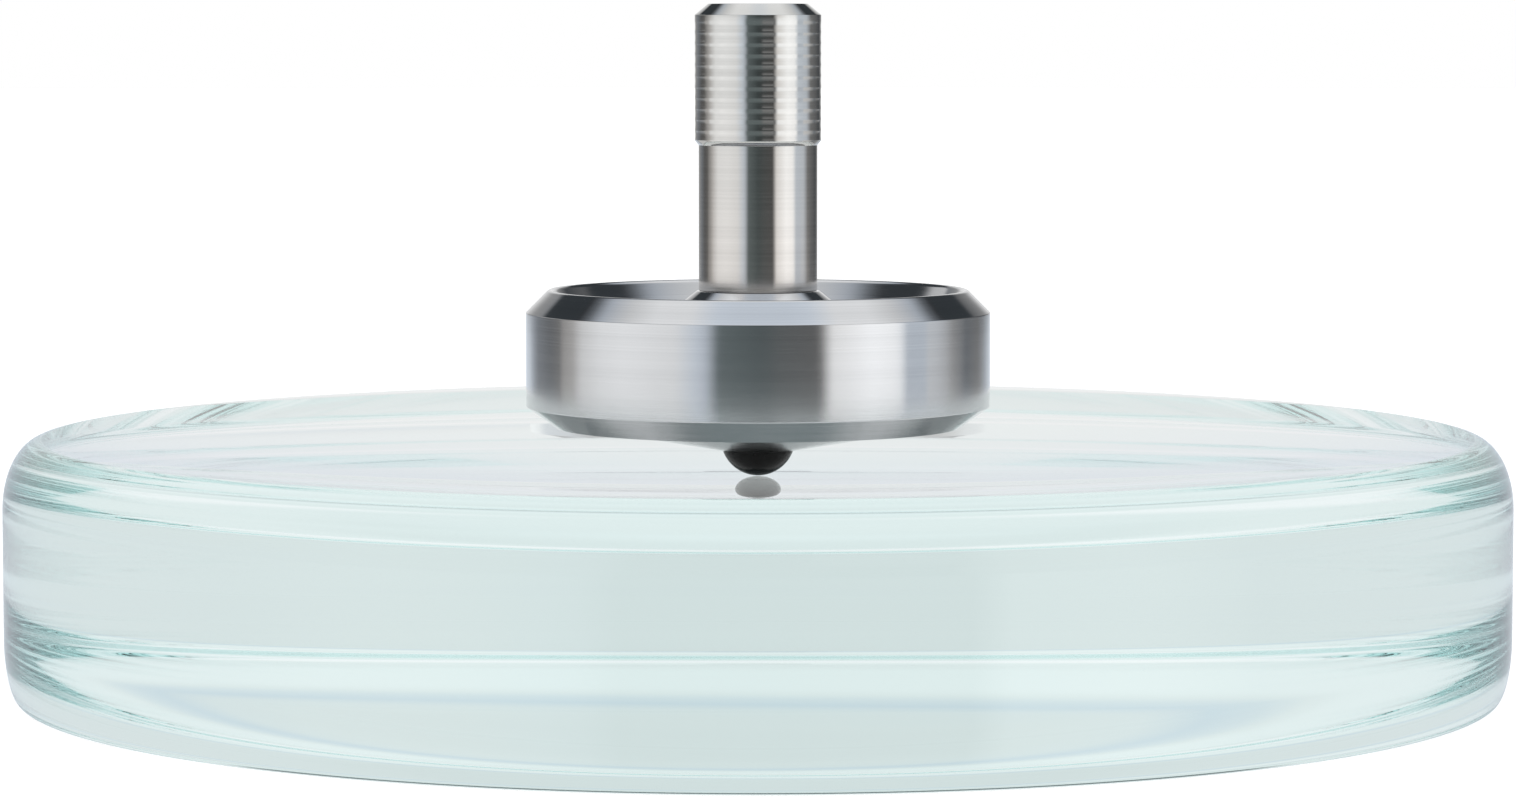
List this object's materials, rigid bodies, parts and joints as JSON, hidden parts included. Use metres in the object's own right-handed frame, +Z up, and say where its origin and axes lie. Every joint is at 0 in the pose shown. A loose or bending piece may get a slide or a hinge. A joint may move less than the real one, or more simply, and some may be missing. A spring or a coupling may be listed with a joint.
{
  "type": "spinning top on stand",
  "caption": "Steel finger-spun top with a grooved grip, a dished flywheel and a ceramic ball tip, standing in the shallow dish of a thick round glass base.",
  "frame": {"origin": "centre of the glass base's underside", "axes": "+Z up along the axis that the base and the upright top share; the object is round, so X and Y are free"},
  "size_m": [0.1, 0.1, 0.0456],
  "materials": {
    "green_glass": "polished",
    "black_ceramic": "polished",
    "wheel_steel": "satin",
    "stem_steel": "satin"
  },
  "bodies": {
    "base": {"glass_base": "green_glass"},
    "tip": {"ball_tip": "black_ceramic"},
    "top": {"flywheel": "wheel_steel", "stem": "stem_steel"}
  },
  "joints": [
    {"name": "lift_off", "type": "slide", "parent": "base", "child": "tip", "axis": [0, 0, 1], "range_m": [0, 0.05]},
    {"name": "spin", "type": "hinge", "parent": "tip", "child": "top", "pos_m": [0, 0, 0.0167], "axis": [0, 0, 1], "continuous": true}
  ]
}
